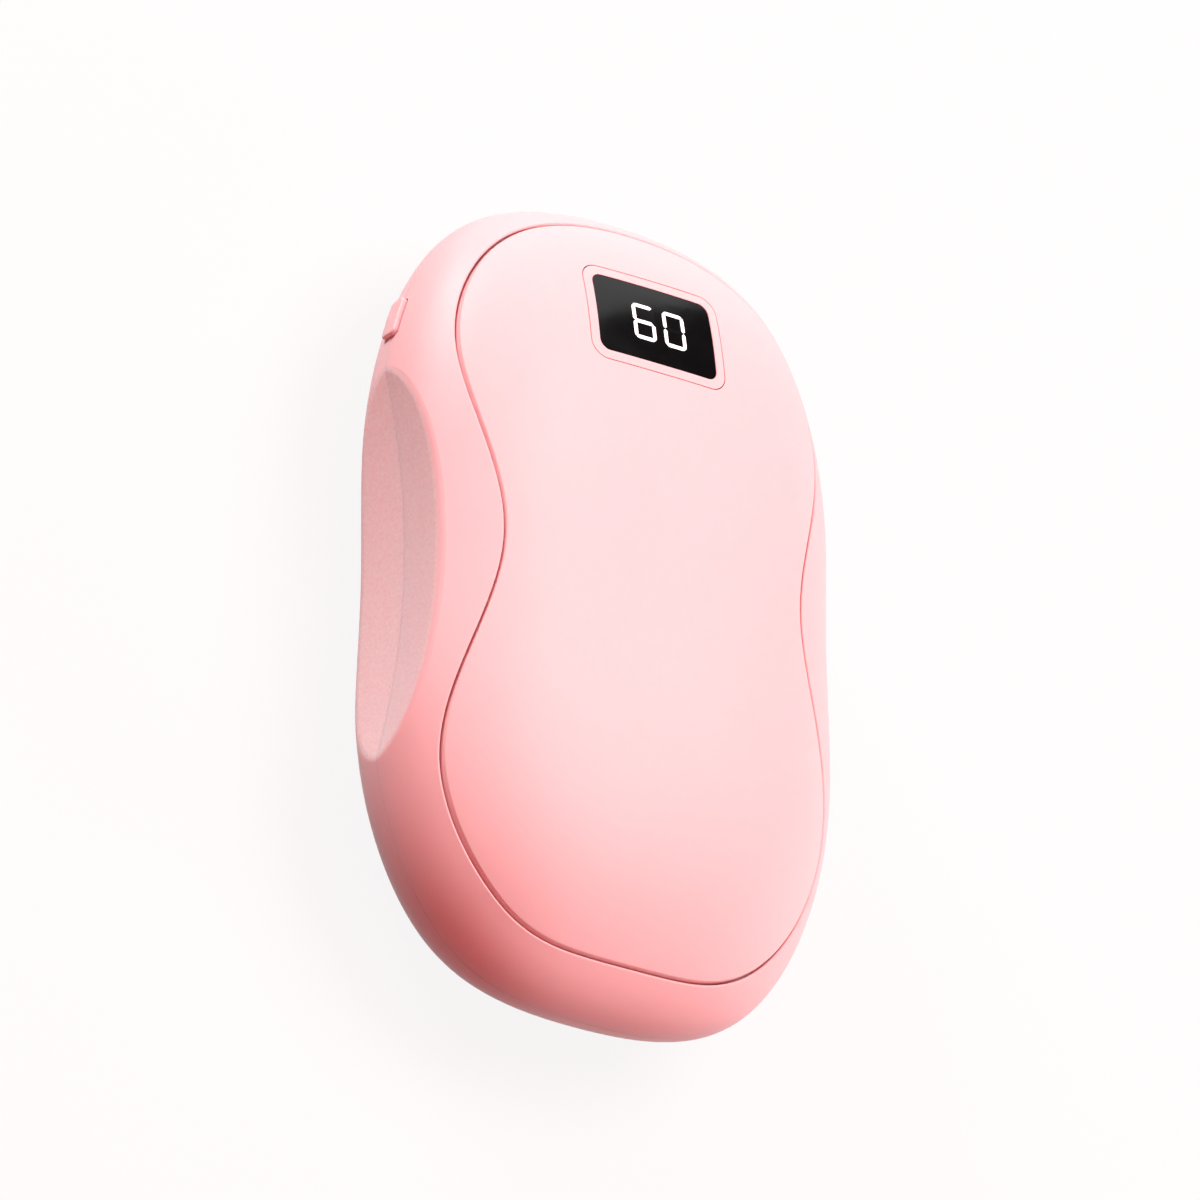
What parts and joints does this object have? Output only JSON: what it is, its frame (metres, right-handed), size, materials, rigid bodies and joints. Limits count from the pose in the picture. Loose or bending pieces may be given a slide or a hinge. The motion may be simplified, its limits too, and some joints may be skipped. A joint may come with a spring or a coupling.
{
  "type": "rechargeable hand warmer",
  "caption": "Pebble-shaped rechargeable hand warmer with a warm plate on each face, finger scoops in the sides, a number display, a power button and a charging socket.",
  "frame": {"origin": "middle of the flat on the rear plate that the hand warmer rests on, under the centre of its outline", "axes": "+X to the right as the display is read, +Y along the case towards the display, +Z out of the front face"},
  "size_m": [0.0628, 0.1049, 0.029],
  "materials": {
    "pink_case": "satin moulded plastic",
    "pink_plate": "satin soft-touch coat on the warm plates",
    "black_window": "polished smoked plastic",
    "lit_bar": "lit white light guide",
    "dark_bar": "unlit light guide",
    "black_plastic": "moulded black plastic",
    "white_plastic": "moulded natural plastic",
    "green_board": "solder resist on glass laminate",
    "amber_film": "polyimide film",
    "bright_steel": "plated steel",
    "cell_wrap": "laminated aluminium pouch",
    "grey_foam": "closed-cell foam",
    "ferrite": "moulded ferrite",
    "red_wire": "silicone insulation",
    "white_wire": "silicone insulation"
  },
  "bodies": {
    "case": {"front_frame": "pink_case", "rear_shell": "pink_case", "front_panel": "pink_plate", "rear_panel": "pink_plate", "display_bezel": "pink_plate", "display_window": "black_window", "lit_segments": "lit_bar", "unlit_segments": "dark_bar", "display_module": "black_plastic", "display_board": "green_board", "display_ribbon": "amber_film", "switch_body": "black_plastic", "usb_shell": "bright_steel", "usb_tongue": "black_plastic", "main_board": "green_board", "board_chips": "black_plastic", "power_inductor": "ferrite", "battery_connector": "white_plastic", "battery_cell": "cell_wrap", "battery_cradle": "white_plastic", "front_foam": "grey_foam", "rear_foam": "grey_foam", "front_heater": "amber_film", "rear_heater": "amber_film", "thermistors": "black_plastic", "front_heater_leads": "white_wire", "rear_heater_leads": "white_wire", "battery_leads": "red_wire", "case_screws": "bright_steel", "board_screws": "bright_steel"},
    "power_button": {"power_button": "pink_case"},
    "switch_plunger": {"switch_plunger": "white_plastic"}
  },
  "joints": [
    {"name": "power_button_press", "type": "slide", "parent": "case", "child": "power_button", "axis": [0.9549, -0.2969, 0], "range_m": [0, 0.00045], "stiffness_N_per_m": 4000},
    {"name": "switch_plunger_press", "type": "slide", "parent": "case", "child": "switch_plunger", "axis": [0.9549, -0.2969, 0], "range_m": [0, 0.00045]}
  ],
  "couplings": [
    {"joint": "switch_plunger_press", "follows": "power_button_press", "ratio": 1}
  ]
}
